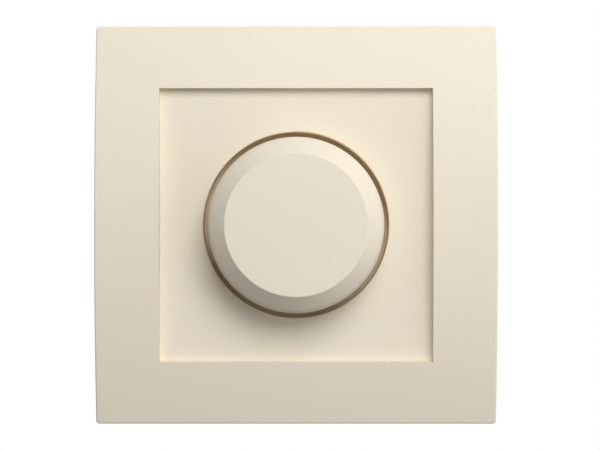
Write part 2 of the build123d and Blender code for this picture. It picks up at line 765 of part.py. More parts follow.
clip_half = 1.3
clip_sheet = 0.4
clip_top = -fuse_depth + 1.4
with BuildPart() as fuse_clips:
    for side in sides:
        clip_middle = side * (fuse_cap_inner + fuse_cap_length / 2)
        clip_x = (clip_middle - clip_half, clip_middle + clip_half)
        outer_z = (fuse_z - fuse_cap_radius - clip_sheet, fuse_z + fuse_cap_radius + clip_sheet)
        inner_z = (fuse_z - fuse_cap_radius, fuse_z + fuse_cap_radius)
        bar(board_front, clip_top, clip_x, outer_z)
        bar(board_front + clip_sheet, clip_top, clip_x, inner_z, mode=Mode.SUBTRACT)
fuse_clips.part.label = "fuse_clips"
export_step(fuse_clips.part, "parts/fuse_clips.step")

# ======== minimum brightness trimmer ========
trimmer_case_top = -10.5
trimmer_bore_floor = -13.5
stem_foot = -13.2
stem_collar_low = -10.4
stem_collar_high = -9.6
stem_top = steel - 0.1
with BuildPart() as trimmer_case:
    slab(board_front, trimmer_case_top, 5.6, 4.4, places=trimmer_spot)
    post(trimmer_bore_floor, trimmer_case_top, 1.7, places=trimmer_spot, mode=Mode.SUBTRACT)
trimmer_case.part.label = "trimmer_case"
export_step(trimmer_case.part, "parts/trimmer_case.step")

with BuildPart() as trimmer_stem:
    post(stem_foot, stem_collar_low, 1.6, places=trimmer_spot)
    post(stem_collar_low, stem_collar_high, 2.2, places=trimmer_spot)
    post(stem_collar_high, stem_top, trimmer_stem_radius, places=trimmer_spot)
    slab(stem_top - 1.0, stem_top, 2.8, 0.7, places=trimmer_spot, mode=Mode.SUBTRACT)
trimmer_stem.part.label = "trimmer_stem"
export_step(trimmer_stem.part, "parts/trimmer_stem.step")

# ======== terminals ========
clamp_half = 3.1
clamp_inner_half = 2.2
bar_top = -17.5
bar_bottom = -18.5
bar_half = 2.0
tail_half = 1.5
tail_z = (-11.4, -10.6)
tail_leg_half = 0.5
tail_slot_half = 1.6
cage_top = -13.2
cage_foot = -21.0
cage_top_wall = 1.0
cage_foot_wall = 1.2
cage_half_depth = 3.0
cage_front = clamp_screw_height + cage_half_depth
cage_back = clamp_screw_height - cage_half_depth
clamp_room_front = block_front - 2.0
tail_front = clamp_room_front - 0.1
tail_back = clamp_room_front - 0.9
slide_gap = 0.2
block_x = (-block_width / 2, block_width / 2)
block_z = (block_low_z, block_high_z)
room_z = (cage_foot - clamp_travel - slide_gap, cage_top + slide_gap)
with BuildPart() as terminal_block:
    bar(block_back, block_front, block_x, block_z)
    for terminal_x in terminal_places:
        room_x = (terminal_x - clamp_half - slide_gap, terminal_x + clamp_half + slide_gap)
        bar(block_back, clamp_room_front, room_x, room_z, mode=Mode.SUBTRACT)
        rod((terminal_x, -clamp_screw_height, block_low_z - 1), (0, 0, 1), 4.0, 2.3, mode=Mode.SUBTRACT)
        tail_x = (terminal_x - tail_slot_half, terminal_x + tail_slot_half)
        bar(clamp_room_front - 1.0, clamp_room_front, tail_x, (cage_top, block_high_z), mode=Mode.SUBTRACT)
terminal_block.part.label = "terminal_block"
export_step(terminal_block.part, "parts/terminal_block.step")

with BuildPart() as wire_entry_plate:
    bar(insert_back, block_back, block_x, block_z)
    wire_places = [(x, wire_axis_z) for x in terminal_places]
    post(insert_back, block_back, wire_hole_radius, places=wire_places, mode=Mode.SUBTRACT)
wire_entry_plate.part.label = "wire_entry_plate"
export_step(wire_entry_plate.part, "parts/wire_entry_plate.step")

with BuildPart() as contact_bars:
    for terminal_x in terminal_places:
        bar_x = (terminal_x - bar_half, terminal_x + bar_half)
        tail_x = (terminal_x - tail_half, terminal_x + tail_half)
        leg_x = (terminal_x - tail_leg_half, terminal_x + tail_leg_half)
        bar(block_back + slide_gap, tail_front, bar_x, (bar_bottom, bar_top))
        bar(tail_back, tail_front, tail_x, (bar_top, tail_z[1]))
        bar(board_back - 1.0, tail_front, leg_x, tail_z)
contact_bars.part.label = "contact_bars"
export_step(contact_bars.part, "parts/contact_bars.step")

clamp_head_low = -24.8
clamp_head_high = -23.4
clamp_head_radius = 2.2
clamp_slot_depth = 0.7
clamp_slot_half = 0.35
screw_end = bar_bottom - 0.05
for number, terminal_x in enumerate(terminal_places, start=1):
    with BuildPart() as terminal_screw:
        head_start = (terminal_x, -clamp_screw_height, clamp_head_low)
        shank_start = (terminal_x, -clamp_screw_height, clamp_head_high)
        rod(head_start, (0, 0, 1), clamp_head_high - clamp_head_low, clamp_head_radius)
        rod(shank_start, (0, 0, 1), screw_end - clamp_head_high, clamp_screw_radius)
        slot_span = (clamp_screw_height - clamp_slot_half, clamp_screw_height + clamp_slot_half)
        slot_x = (terminal_x - clamp_half, terminal_x + clamp_half)
        slot_z = (clamp_head_low, clamp_head_low + clamp_slot_depth)
        bar(*slot_span, slot_x, slot_z, mode=Mode.SUBTRACT)
    terminal_screw.part.label = f"terminal_screw_{number}"
    export_step(terminal_screw.part, f"parts/terminal_screw_{number}.step")

    with BuildPart() as terminal_cage:
        cage_x = (terminal_x - clamp_half, terminal_x + clamp_half)
        inner_x = (terminal_x - clamp_inner_half, terminal_x + clamp_inner_half)
        inner_z = (cage_foot + cage_foot_wall, cage_top - cage_top_wall)
        bar(cage_back, cage_front, cage_x, (cage_foot, cage_top))
        bar(cage_back, cage_front, inner_x, inner_z, mode=Mode.SUBTRACT)
        screw_path = (terminal_x, -clamp_screw_height, cage_foot - 1)
        rod(screw_path, (0, 0, 1), 3.0, clamp_screw_radius + running_gap, mode=Mode.SUBTRACT)
    terminal_cage.part.label = f"terminal_cage_{number}"
    export_step(terminal_cage.part, f"parts/terminal_cage_{number}.step")

# ======== claws that grip a round wall box ========
claw_sheet = 1.0
claw_foot_height = -20.5
tab_height = claw_pivot_height + 3.0
cheek_reach = (19.5, 22.0)
tab_reach = (19.5, 27.6)
foot_reach = (19.5, 27.0)
slot_reach = (21.4, 26.7)
slot_half = 1.75
tooth_places = (-3.75, -1.25, 1.25, 3.75)
tooth_radius = 0.9
with BuildPart() as pivot_pins:
    for side in sides:
        pin_start = (side * claw_pivot_x, -claw_pivot_height, -pivot_reach / 2)
        rod(pin_start, (0, 0, 1), pivot_reach, pivot_pin_radius)
pivot_pins.part.label = "claw_pivot_pins"
export_step(pivot_pins.part, "parts/claw_pivot_pins.step")

claw_z = (-claw_half_width, claw_half_width)
claw_screw_end = -15.0
claw_head_radius = 2.4
claw_head = 1.6
claw_slot = (6.0, 0.7)
claw_slot_depth = 0.8
for side, name in ((-1, "left"), (1, "right")):
    with BuildPart() as claw:
        for above in sides:
            cheek_z = span_from(above, claw_half_width - claw_sheet, claw_half_width)
            bar(claw_foot_height, tab_height, span_from(side, *cheek_reach), cheek_z)
        bar(tab_height - claw_sheet, tab_height, span_from(side, *tab_reach), claw_z)
        bar(claw_foot_height, claw_foot_height + claw_sheet, span_from(side, *foot_reach), claw_z)
        slot_x = span_from(side, *slot_reach)
        bar(tab_height - claw_sheet, tab_height, slot_x, (-slot_half, slot_half), mode=Mode.SUBTRACT)
        for tooth_z in tooth_places:
            with BuildSketch(face_at(claw_foot_height)) as gap_outline:
                with Locations((side * foot_reach[1], tooth_z)):
                    RegularPolygon(tooth_radius, 4)
            extrude(gap_outline.sketch, amount=claw_sheet, mode=Mode.SUBTRACT)
        pivot_start = (side * claw_pivot_x, -claw_pivot_height, -pivot_reach)
        pivot_hole = pivot_pin_radius + running_gap
        rod(pivot_start, (0, 0, 1), 2 * pivot_reach, pivot_hole, mode=Mode.SUBTRACT)
    claw.part.label = f"claw_{name}"
    export_step(claw.part, f"parts/claw_{name}.step")

    with BuildPart() as claw_screw:
        screw_place = ((side * claw_screw_x, 0),)
        post(steel, steel + claw_head, claw_head_radius, places=screw_place)
        post(claw_screw_end, steel, claw_screw_radius, places=screw_place)
        slot_low = steel + claw_head - claw_slot_depth
        slab(slot_low, steel + claw_head, *claw_slot, places=screw_place, mode=Mode.SUBTRACT)
    claw_screw.part.label = f"claw_screw_{name}"
    export_step(claw_screw.part, f"parts/claw_screw_{name}.step")
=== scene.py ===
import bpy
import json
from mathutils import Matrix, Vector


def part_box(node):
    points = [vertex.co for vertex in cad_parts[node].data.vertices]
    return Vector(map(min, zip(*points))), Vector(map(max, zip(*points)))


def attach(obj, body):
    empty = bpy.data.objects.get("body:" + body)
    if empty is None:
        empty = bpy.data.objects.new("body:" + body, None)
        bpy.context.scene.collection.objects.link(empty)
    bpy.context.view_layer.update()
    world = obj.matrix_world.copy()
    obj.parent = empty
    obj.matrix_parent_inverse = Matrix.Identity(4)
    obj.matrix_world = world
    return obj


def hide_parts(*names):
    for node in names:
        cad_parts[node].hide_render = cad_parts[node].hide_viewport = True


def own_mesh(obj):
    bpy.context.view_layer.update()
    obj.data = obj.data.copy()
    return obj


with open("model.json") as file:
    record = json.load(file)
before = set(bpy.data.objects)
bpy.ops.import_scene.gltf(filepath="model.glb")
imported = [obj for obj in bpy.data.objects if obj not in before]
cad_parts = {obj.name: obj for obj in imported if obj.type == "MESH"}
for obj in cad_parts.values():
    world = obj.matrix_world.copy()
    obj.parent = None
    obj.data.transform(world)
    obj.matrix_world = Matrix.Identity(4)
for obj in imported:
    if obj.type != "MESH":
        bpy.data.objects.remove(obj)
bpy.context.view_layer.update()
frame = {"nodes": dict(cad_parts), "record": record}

import json
import math

import bpy

MM = 0.001

# ---- camera and light, in metres and watts: a head-on product shot, lit softly from the upper right ----
CAMERA_DISTANCE = 0.380
CAMERA_LENS = 109.3  # millimetres
SENSOR_WIDTH = 36.0  # millimetres
OFF_CENTRE = 0.0008
# name, place, width of the square, power
SOFT_BOXES = (
    ("key_light", (0.12, -0.455, 0.33), 0.36, 2.56),
    ("right_light", (0.45, -0.22, 0.05), 0.5, 0.80),
    ("front_light", (0.0, -0.62, 0.02), 0.4, 0.32),
    ("rear_light", (-0.30, 0.42, 0.26), 0.45, 4.0),
)
SKY_LIGHT_ABOVE = 0.17
SKY_LIGHT_BELOW = 0.15
MIRRORED_LIGHT = 0.75
WHITE = (1.0, 1.0, 1.0, 1.0)
FLOOR_GLOW = 0.35
FLOOR_HEIGHT = -0.30
FLOOR_RADIUS = 1.5
FLOOR_CORNERS = 96
FLOOR_FADE_START = 0.45

# ---- kinds of node socket ----
FLOAT = "NodeSocketFloat"
WHOLE = "NodeSocketInt"
VECTOR = "NodeSocketVector"

# ---- places inside the insert, with (x, z) pairs in millimetres ----
SWITCH_FLOOR = 14.2 * MM  # depth of the switch case's floor, where its springs stand
HOUSING_SCREW_PLACES = ((-13.5, 20.5), (13.5, 20.5), (-17.5, -17.5), (17.5, -17.5))
RIVET_PLACES = ((-8.0, -21.4), (-8.0, 21.4), (8.0, -21.4), (8.0, 21.4))
SOLDER_PLACES = (
    (-12.4, 0.4), (-12.4, 7.6), (12.4, 0.4), (12.4, 7.6), (12.4, -0.4), (12.4, -7.6),
    (-3.0, 12.6), (3.0, 12.6), (-2.5, 15.6), (2.5, 15.6), (12.2, 13.7), (14.7, 13.7), (17.2, 13.7),
    (-18.6, 16.6), (-13.8, 11.2),
)


# ======== nodes ========

def node(tree, kind, inputs=None, **settings):
    """Adds a node, sets its properties, then its inputs from sockets or plain values."""
    made = tree.nodes.new(kind)
    for label, value in settings.items():
        setattr(made, label, value)
    for label, value in (inputs or {}).items():
        if isinstance(value, bpy.types.NodeSocket):
            tree.links.new(value, made.inputs[label])
        else:
            made.inputs[label].default_value = value
    return made


def math_node(tree, operation, *operands, clamp=False):
    """A Math node; each operand is a socket or a number."""
    return node(tree, "ShaderNodeMath", dict(enumerate(operands)), operation=operation,
                use_clamp=clamp).outputs[0]


def socket(tree, name, kind, way="INPUT", value=None):
    """Adds one named socket to a tree and gives it a default."""
    made = tree.interface.new_socket(name=name, in_out=way, socket_type=kind)
    if value is not None:
        made.default_value = value


# ======== shader node groups ========

def new_group(name, inputs, outputs):
    """An empty shader group with named float inputs and typed outputs."""
    group = bpy.data.node_groups.new(name, "ShaderNodeTree")
    for label, value in inputs.items():
        socket(group, label, FLOAT, value=value)
    for label, kind in outputs.items():
        socket(group, label, kind, "OUTPUT")
    return group, group.nodes.new("NodeGroupInput"), group.nodes.new("NodeGroupOutput")


def object_place(tree):
    """Coordinates that stay with the piece as it moves."""
    return node(tree, "ShaderNodeTexCoord").outputs["Object"]


def noise(tree, place, scale, detail=3.0, roughness=0.55):
    """A noise texture on the given coordinates."""
    return node(tree, "ShaderNodeTexNoise", {
        "Vector": place, "Scale": scale, "Detail": detail, "Roughness": roughness}).outputs["Fac"]


def make_moulded_grain():
    """Fine spark-eroded grain of a moulded surface, with slow sheen and tone drift."""
    group, given, out = new_group(
        "moulded_grain",
        {"Grain Scale": 9000.0, "Sheen Scale": 90.0, "Tone Scale": 35.0},
        {"Height": FLOAT, "Sheen": FLOAT, "Tone": FLOAT},
    )
    place = object_place(group)
    fine = noise(group, place, given.outputs["Grain Scale"], 2.0, 0.5)
    half_scale = math_node(group, "MULTIPLY", given.outputs["Grain Scale"], 0.35)
    coarse = noise(group, place, half_scale, 2.0, 0.5)
    group.links.new(math_node(group, "ADD", fine, coarse), out.inputs["Height"])
    group.links.new(noise(group, place, given.outputs["Sheen Scale"], 4.0, 0.6), out.inputs["Sheen"])
    group.links.new(noise(group, place, given.outputs["Tone Scale"], 2.0, 0.5), out.inputs["Tone"])
    return group


def make_worn_edges():
    """Mask of the sharp edges, broken up by noise, and the surface normal rounded over them."""
    group, given, out = new_group(
        "worn_edges", {"Radius": 0.2 * MM, "Breakup Scale": 900.0}, {"Edge": FLOAT, "Rounded": VECTOR})
    rounded = node(group, "ShaderNodeBevel", {"Radius": given.outputs["Radius"]}, samples=4).outputs["Normal"]
    flat = node(group, "ShaderNodeNewGeometry").outputs["Normal"]
    facing = node(group, "ShaderNodeVectorMath", {0: rounded, 1: flat}, operation="DOT_PRODUCT")
    turned_away = math_node(group, "SUBTRACT", 1.0, facing.outputs["Value"], clamp=True)
    edge = math_node(group, "MULTIPLY", turned_away, 6.0, clamp=True)
    speckle = noise(group, object_place(group), given.outputs["Breakup Scale"], 5.0, 0.7)
    broken = math_node(group, "MULTIPLY", edge, math_node(group, "MULTIPLY", speckle, 1.6), clamp=True)
    group.links.new(broken, out.inputs["Edge"])
    group.links.new(rounded, out.inputs["Rounded"])
    return group


def make_drawn_grain():
    """Long fine scratches of rolled or drawn metal, and slow stains."""
    group, given, out = new_group(
        "drawn_grain",
        {"Stretch": 22.0, "Grain Scale": 260.0, "Stain Scale": 120.0},
        {"Height": FLOAT, "Stain": FLOAT},
    )
    place = object_place(group)
    stretch = given.outputs["Stretch"]
    squeeze = node(group, "ShaderNodeCombineXYZ", {"X": 1.0, "Y": stretch, "Z": stretch}).outputs[0]
    along = node(group, "ShaderNodeVectorMath", {0: place, 1: squeeze}, operation="MULTIPLY").outputs[0]
    group.links.new(noise(group, along, given.outputs["Grain Scale"], 4.0, 0.7), out.inputs["Height"])
    group.links.new(noise(group, place, given.outputs["Stain Scale"], 5.0, 0.65), out.inputs["Stain"])
    return group


def make_painted_gap_shade():
    """Mask of the narrow gaps that little light gets into, broken up a little by noise, where painted shade
    is laid.
    """
    group, given, out = new_group(
        "painted_gap_shade", {"Reach": 5.0 * MM, "Breakup Scale": 300.0}, {"Painted Shade": FLOAT})
    open_to_light = node(group, "ShaderNodeAmbientOcclusion", {"Distance": given.outputs["Reach"]},
                         samples=8).outputs["AO"]
    hidden = math_node(group, "SUBTRACT", 1.0, open_to_light, clamp=True)
    speckle = noise(group, object_place(group), given.outputs["Breakup Scale"])
    patchy = math_node(group, "ADD", 0.85, math_node(group, "MULTIPLY", speckle, 0.3))
    deep = math_node(group, "MULTIPLY_ADD", hidden, 2.8, -1.5, clamp=True)
    group.links.new(math_node(group, "MULTIPLY", deep, patchy, clamp=True), out.inputs["Painted Shade"])
    return group


GRAIN = make_moulded_grain()
EDGES = make_worn_edges()
PAINTED_GAP_SHADE = make_painted_gap_shade()
DRAWN = make_drawn_grain()


# ======== materials ========

def new_material(name):
    """A node material, its tree and its Principled shader."""
    material = bpy.data.materials.new(name)
    material.use_nodes = True
    tree = material.node_tree
    return material, tree, tree.nodes["Principled BSDF"]


def place_group(tree, group, **values):
    """Puts a shared group in a material and sets its named inputs."""
    named = {label.replace("_", " "): value for label, value in values.items()}
    return node(tree, "ShaderNodeGroup", named, node_tree=group)


def mix_colour(tree, amount, first, second):
    """Blends two colours, each a socket or a fixed RGB."""
    made = node(tree, "ShaderNodeMix", {"Factor": amount}, data_type="RGBA")
    for label, colour in (("A", first), ("B", second)):
        colour_socket = next(s for s in made.inputs if s.name == label and s.type == "RGBA")
        if isinstance(colour, tuple):
            colour_socket.default_value = (*colour, 1.0)
        else:
            tree.links.new(colour, colour_socket)
    return next(s for s in made.outputs if s.type == "RGBA")


def span(tree, value, low, high):
    """Maps a 0 to 1 value onto a range."""
    return node(tree, "ShaderNodeMapRange", {"Value": value, "To Min": low, "To Max": high}).outputs["Result"]


def bump(tree, shader, height, strength, distance, **over):
    """Feeds a height through a Bump node into the shader's normal, over a rounded Normal if given."""
    inputs = {"Height": height, "Strength": strength, "Distance": distance, **over}
    tree.links.new(node(tree, "ShaderNodeBump", inputs).outputs["Normal"], shader.inputs["Normal"])


def moulded(name, colour, deeper, worn, sheen=(0.3, 0.4), grain=9000.0, grain_depth=0.12,
            edge_radius=0.15 * MM, specular=0.5, soft=0.0, painted_shade_colour=None):
    """Moulded plastic: tone drift, patchy sheen, fine grain, slightly polished edges and, when a shade colour
    is given, painted shade in deep gaps.
    """
    material, tree, shader = new_material(name)
    surface = place_group(tree, GRAIN, Grain_Scale=grain)
    edges = place_group(tree, EDGES, Radius=edge_radius)
    drift = mix_colour(tree, surface.outputs["Tone"], colour, deeper)
    tinted = mix_colour(tree, edges.outputs["Edge"], drift, worn)
    # Painted shade: gaps found by ambient occlusion are tinted towards a warm brown, standing in for their
    # shadow and warm bounced light.
    if painted_shade_colour:
        gap_shade_node = place_group(tree, PAINTED_GAP_SHADE)
        tinted = mix_colour(tree, gap_shade_node.outputs["Painted Shade"], tinted, painted_shade_colour)
    tree.links.new(tinted, shader.inputs["Base Color"])
    tree.links.new(span(tree, surface.outputs["Sheen"], *sheen), shader.inputs["Roughness"])
    bump(tree, shader, surface.outputs["Height"], grain_depth, 0.02 * MM, Normal=edges.outputs["Rounded"])
    shader.inputs["Specular IOR Level"].default_value = specular
    if soft:
        shader.inputs["Subsurface Weight"].default_value = soft
        shader.inputs["Subsurface Radius"].default_value = (1.0, 0.65, 0.35)
        shader.inputs["Subsurface Scale"].default_value = 0.6 * MM
    return material


def metal(name, colour, stained, worn, roughness, stretch=22.0):
    """Bare or plated metal: drawn grain, faint stains and brighter edges."""
    material, tree, shader = new_material(name)
    surface = place_group(tree, DRAWN, Stretch=stretch)
    edges = place_group(tree, EDGES, Radius=0.12 * MM, Breakup_Scale=1600.0)
    drift = mix_colour(tree, surface.outputs["Stain"], colour, stained)
    tree.links.new(mix_colour(tree, edges.outputs["Edge"], drift, worn), shader.inputs["Base Color"])
    shader.inputs["Metallic"].default_value = 1.0
    tree.links.new(span(tree, surface.outputs["Height"], *roughness), shader.inputs["Roughness"])
    bump(tree, shader, surface.outputs["Height"], 0.15, 0.01 * MM, Normal=edges.outputs["Rounded"])
    return material


def clear_glass(name, colour, roughness):
    """Thin drawn glass with faint draw lines."""
    material, tree, shader = new_material(name)
    surface = place_group(tree, DRAWN, Stretch=0.2, Grain_Scale=900.0)
    shader.inputs["Base Color"].default_value = (*colour, 1.0)
    shader.inputs["Metallic"].default_value = 0.0
    shader.inputs["Transmission Weight"].default_value = 1.0
    shader.inputs["IOR"].default_value = 1.5
    tree.links.new(span(tree, surface.outputs["Stain"], roughness, roughness + 0.06),
                   shader.inputs["Roughness"])
    bump(tree, shader, surface.outputs["Height"], 0.05, 0.01 * MM)
    return material


def banded(name):
    """Lacquered resistor body with painted bands, which repeat every 8 mm up the board."""
    material, tree, shader = new_material(name)
    surface = place_group(tree, GRAIN, Grain_Scale=5000.0)
    height = node(tree, "ShaderNodeSeparateXYZ", {0: object_place(tree)}).outputs["Z"]
    along = math_node(tree, "FRACT", math_node(tree, "DIVIDE", height, 8.0 * MM))
    bands = node(tree, "ShaderNodeValToRGB", {"Fac": along})
    bands.color_ramp.interpolation = "CONSTANT"
    lacquer = (0.48, 0.33, 0.17)
    stops = ((0.25, (0.16, 0.05, 0.02)), (0.31, lacquer), (0.38, (0.02, 0.02, 0.02)), (0.44, lacquer),
             (0.51, (0.62, 0.28, 0.02)), (0.57, lacquer), (0.70, (0.45, 0.33, 0.10)), (0.76, lacquer))
    bands.color_ramp.elements[0].color = (*lacquer, 1.0)
    bands.color_ramp.elements.remove(bands.color_ramp.elements[1])
    for position, colour in stops:
        bands.color_ramp.elements.new(position).color = (*colour, 1.0)
    faded = mix_colour(tree, span(tree, surface.outputs["Tone"], 0.0, 0.25), bands.outputs["Color"], lacquer)
    tree.links.new(faded, shader.inputs["Base Color"])
    tree.links.new(span(tree, surface.outputs["Sheen"], 0.30, 0.50), shader.inputs["Roughness"])
    bump(tree, shader, surface.outputs["Height"], 0.12, 0.02 * MM)
    return material


FINISHES = {
    # The cream plastic's last colour is the warm brown of the painted shade in its deep gaps.
    "cream_plastic": moulded("cream_plastic", (0.845, 0.775, 0.640), (0.825, 0.752, 0.615),
                             (0.870, 0.805, 0.680), sheen=(0.40, 0.47), grain_depth=0.05,
                             edge_radius=0.12 * MM, specular=0.20, soft=0.10,
                             painted_shade_colour=(0.920, 0.700, 0.400)),
    "grey_thermoset": moulded("grey_thermoset", (0.075, 0.078, 0.082), (0.058, 0.060, 0.064),
                              (0.140, 0.142, 0.145), sheen=(0.42, 0.58), grain=6000.0, grain_depth=0.3),
    "black_phenolic": moulded("black_phenolic", (0.020, 0.019, 0.018), (0.030, 0.027, 0.024),
                              (0.070, 0.066, 0.060), sheen=(0.30, 0.50)),
    "brown_laminate": moulded("brown_laminate", (0.240, 0.130, 0.055), (0.180, 0.095, 0.040),
                              (0.330, 0.200, 0.100), sheen=(0.45, 0.65), grain=3000.0),
    "carbon": moulded("carbon", (0.012, 0.012, 0.013), (0.025, 0.025, 0.026), (0.05, 0.05, 0.05),
                      sheen=(0.35, 0.55)),
    "circuit_board": moulded("circuit_board", (0.200, 0.230, 0.070), (0.160, 0.190, 0.055),
                             (0.350, 0.340, 0.160), sheen=(0.30, 0.50), grain=2500.0),
    "ferrite": moulded("ferrite", (0.035, 0.033, 0.033), (0.060, 0.055, 0.052), (0.12, 0.11, 0.10),
                       sheen=(0.50, 0.70), grain=4000.0, grain_depth=0.5),
    "enamelled_copper": metal("enamelled_copper", (0.55, 0.16, 0.045), (0.42, 0.11, 0.03),
                              (0.75, 0.33, 0.14), roughness=(0.18, 0.30), stretch=1.0),
    "white_nylon": moulded("white_nylon", (0.760, 0.755, 0.715), (0.720, 0.710, 0.660),
                           (0.820, 0.815, 0.790), sheen=(0.35, 0.50), soft=0.1),
    "blue_plastic": moulded("blue_plastic", (0.015, 0.070, 0.300), (0.012, 0.050, 0.220),
                            (0.060, 0.150, 0.420), sheen=(0.25, 0.40)),
    "yellow_box": moulded("yellow_box", (0.680, 0.420, 0.020), (0.600, 0.350, 0.015),
                          (0.760, 0.540, 0.090), sheen=(0.22, 0.35)),
    "red_box": moulded("red_box", (0.360, 0.020, 0.012), (0.280, 0.015, 0.010), (0.500, 0.070, 0.050),
                       sheen=(0.22, 0.35)),
    "resistor_body": banded("resistor_body"),
    "zinc_steel": metal("zinc_steel", (0.560, 0.570, 0.585), (0.450, 0.455, 0.460), (0.76, 0.77, 0.78),
                        roughness=(0.30, 0.50)),
    "spring_steel": metal("spring_steel", (0.420, 0.420, 0.430), (0.330, 0.320, 0.310),
                          (0.62, 0.62, 0.62), roughness=(0.25, 0.40)),
    "nickel_brass": metal("nickel_brass", (0.700, 0.660, 0.580), (0.600, 0.555, 0.470),
                          (0.800, 0.680, 0.420), roughness=(0.14, 0.28)),
    "brass": metal("brass", (0.780, 0.530, 0.210), (0.620, 0.390, 0.140), (0.88, 0.68, 0.34),
                   roughness=(0.20, 0.38)),
    "tinned_copper": metal("tinned_copper", (0.720, 0.710, 0.690), (0.600, 0.580, 0.550),
                           (0.80, 0.62, 0.50), roughness=(0.20, 0.35)),
    "aluminium": metal("aluminium", (0.740, 0.745, 0.755), (0.640, 0.645, 0.655), (0.88, 0.88, 0.89),
                       roughness=(0.28, 0.42), stretch=30.0),
    "clear_glass": clear_glass("clear_glass", (0.92, 0.97, 0.95), 0.02),
    "orange_glass": clear_glass("orange_glass", (0.80, 0.28, 0.08), 0.05),
}

slot_of = {entry["node"]: entry["material_slot"] for entry in frame["record"]["subparts"]}
for node_name, node_object in frame["nodes"].items():
    for material_slot in node_object.material_slots:
        material_slot.material = FINISHES[slot_of[node_name]]


# ======== pieces grown by Geometry Nodes ========

SHARP_ANGLE = 0.6  # radians between two faces, past which their edge is shaded sharp
TOUCHING = 0.001 * MM  # points this close are welded
NEARLY = 0.01 * MM  # allowance where the seat's radius is looked for
CUTTER_ABOVE_HEAD = 0.2 * MM  # how far a slot's cutter stands above the screw's head
HEAD_SIDE_SHARE = 0.55  # share of a screw head's height that its side takes, with the dome above
RIB_FROM_SEAT = 1.2 * MM  # from the shaft's seat to the ribs' inner ends, which lie in the hub's wall
RIB_IN_CEILING = 0.4 * MM  # how far the ribs run into the face's thickness


def tree_for(name, inputs, from_places=False):
    """A Geometry Nodes tree with named inputs, its input and output nodes."""
    tree = bpy.data.node_groups.new(name, "GeometryNodeTree")
    tree.is_modifier = True
    if from_places:
        socket(tree, "Places", "NodeSocketGeometry")
    for label, (kind, value) in inputs.items():
        socket(tree, label, kind, value=value)
    socket(tree, "Material", "NodeSocketMaterial")
    socket(tree, "Piece", "NodeSocketGeometry", "OUTPUT")
    return tree, tree.nodes.new("NodeGroupInput"), tree.nodes.new("NodeGroupOutput")


def close_tree(tree, given, out, shape):
    """Ends a tree: corners kept sharp, instances made real, then the material put on."""
    soft = node(tree, "GeometryNodeSetShadeSmooth", {"Geometry": shape}, domain="FACE")
    corner = node(tree, "FunctionNodeCompare", {
        0: node(tree, "GeometryNodeInputMeshEdgeAngle").outputs[0], 1: SHARP_ANGLE},
        data_type="FLOAT", operation="GREATER_THAN")
    crisp = node(tree, "GeometryNodeSetShadeSmooth", {
        "Geometry": soft.outputs[0], "Selection": corner.outputs[0], "Shade Smooth": False}, domain="EDGE")
    real = node(tree, "GeometryNodeRealizeInstances", {0: crisp.outputs[0]})
    painted = node(tree, "GeometryNodeSetMaterial", {"Geometry": real.outputs[0],
                                                     "Material": given.outputs["Material"]})
    tree.links.new(painted.outputs[0], out.inputs[0])
    return tree


def grow(name, tree, finish, body, values, places=((0, 0, 0),), stands_for=()):
    """Runs a tree with its inputs set by identifier and keeps the result as a plain mesh on one body."""
    seeds = bpy.data.meshes.new(name)
    seeds.from_pydata(places, [], [])
    piece = bpy.data.objects.new(name, seeds)
    bpy.context.collection.objects.link(piece)
    modifier = piece.modifiers.new(name, "NODES")
    modifier.node_group = tree
    codes = {item.name: item.identifier for item in tree.interface.items_tree if item.in_out == "INPUT"}
    modifier[codes["Material"]] = FINISHES[finish]
    for label, value in values.items():
        modifier[codes[label]] = value
    depsgraph = bpy.context.evaluated_depsgraph_get()
    grown = bpy.data.meshes.new_from_object(piece.evaluated_get(depsgraph), depsgraph=depsgraph)
    piece.modifiers.clear()
    piece.data = grown
    grown.name = name
    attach(piece, body)
    if stands_for:
        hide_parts(*stands_for)
    return piece


def rolled_sheet(tree, around, along, radius_of, height_of):
    """A unit grid rolled into a closed tube, its radius and height given as fields of (u, v)."""
    grid = node(tree, "GeometryNodeMeshGrid", {"Size X": 1.0, "Size Y": 1.0, "Vertices X": around,
                                               "Vertices Y": along})
    spot = node(tree, "ShaderNodeSeparateXYZ", {0: node(tree, "GeometryNodeInputPosition").outputs[0]})
    u = math_node(tree, "ADD", spot.outputs["X"], 0.5)
    v = math_node(tree, "ADD", spot.outputs["Y"], 0.5)
    angle = math_node(tree, "MULTIPLY", u, 2 * math.pi)
    radius = radius_of(u, v)
    moved = node(tree, "ShaderNodeCombineXYZ", {
        "X": math_node(tree, "MULTIPLY", radius, math_node(tree, "COSINE", angle)),
        "Y": math_node(tree, "MULTIPLY", radius, math_node(tree, "SINE", angle)),
        "Z": height_of(u, v)})
    rolled = node(tree, "GeometryNodeSetPosition", {"Geometry": grid.outputs["Mesh"],
                                                    "Position": moved.outputs[0]})
    return rolled.outputs[0]


def merged(tree, shape):
    """Welds the points that lie on one another, which closes seams and poles."""
    return node(tree, "GeometryNodeMergeByDistance", {"Geometry": shape, "Distance": TOUCHING}).outputs[0]


def joined(tree, *shapes):
    """Joins shapes into one geometry."""
    made = node(tree, "GeometryNodeJoinGeometry")
    for shape in shapes:
        tree.links.new(shape, made.inputs[0])
    return made.outputs[0]


def at_places(tree, given, shape, turn):
    """Sets a copy of a shape, turned, on every given place."""
    spots = node(tree, "GeometryNodeMeshToPoints", {"Mesh": given.outputs["Places"]})
    angles = node(tree, "FunctionNodeEulerToRotation", {0: turn})
    return node(tree, "GeometryNodeInstanceOnPoints", {"Points": spots.outputs[0], "Instance": shape,
                                                       "Rotation": angles.outputs[0]}).outputs[0]


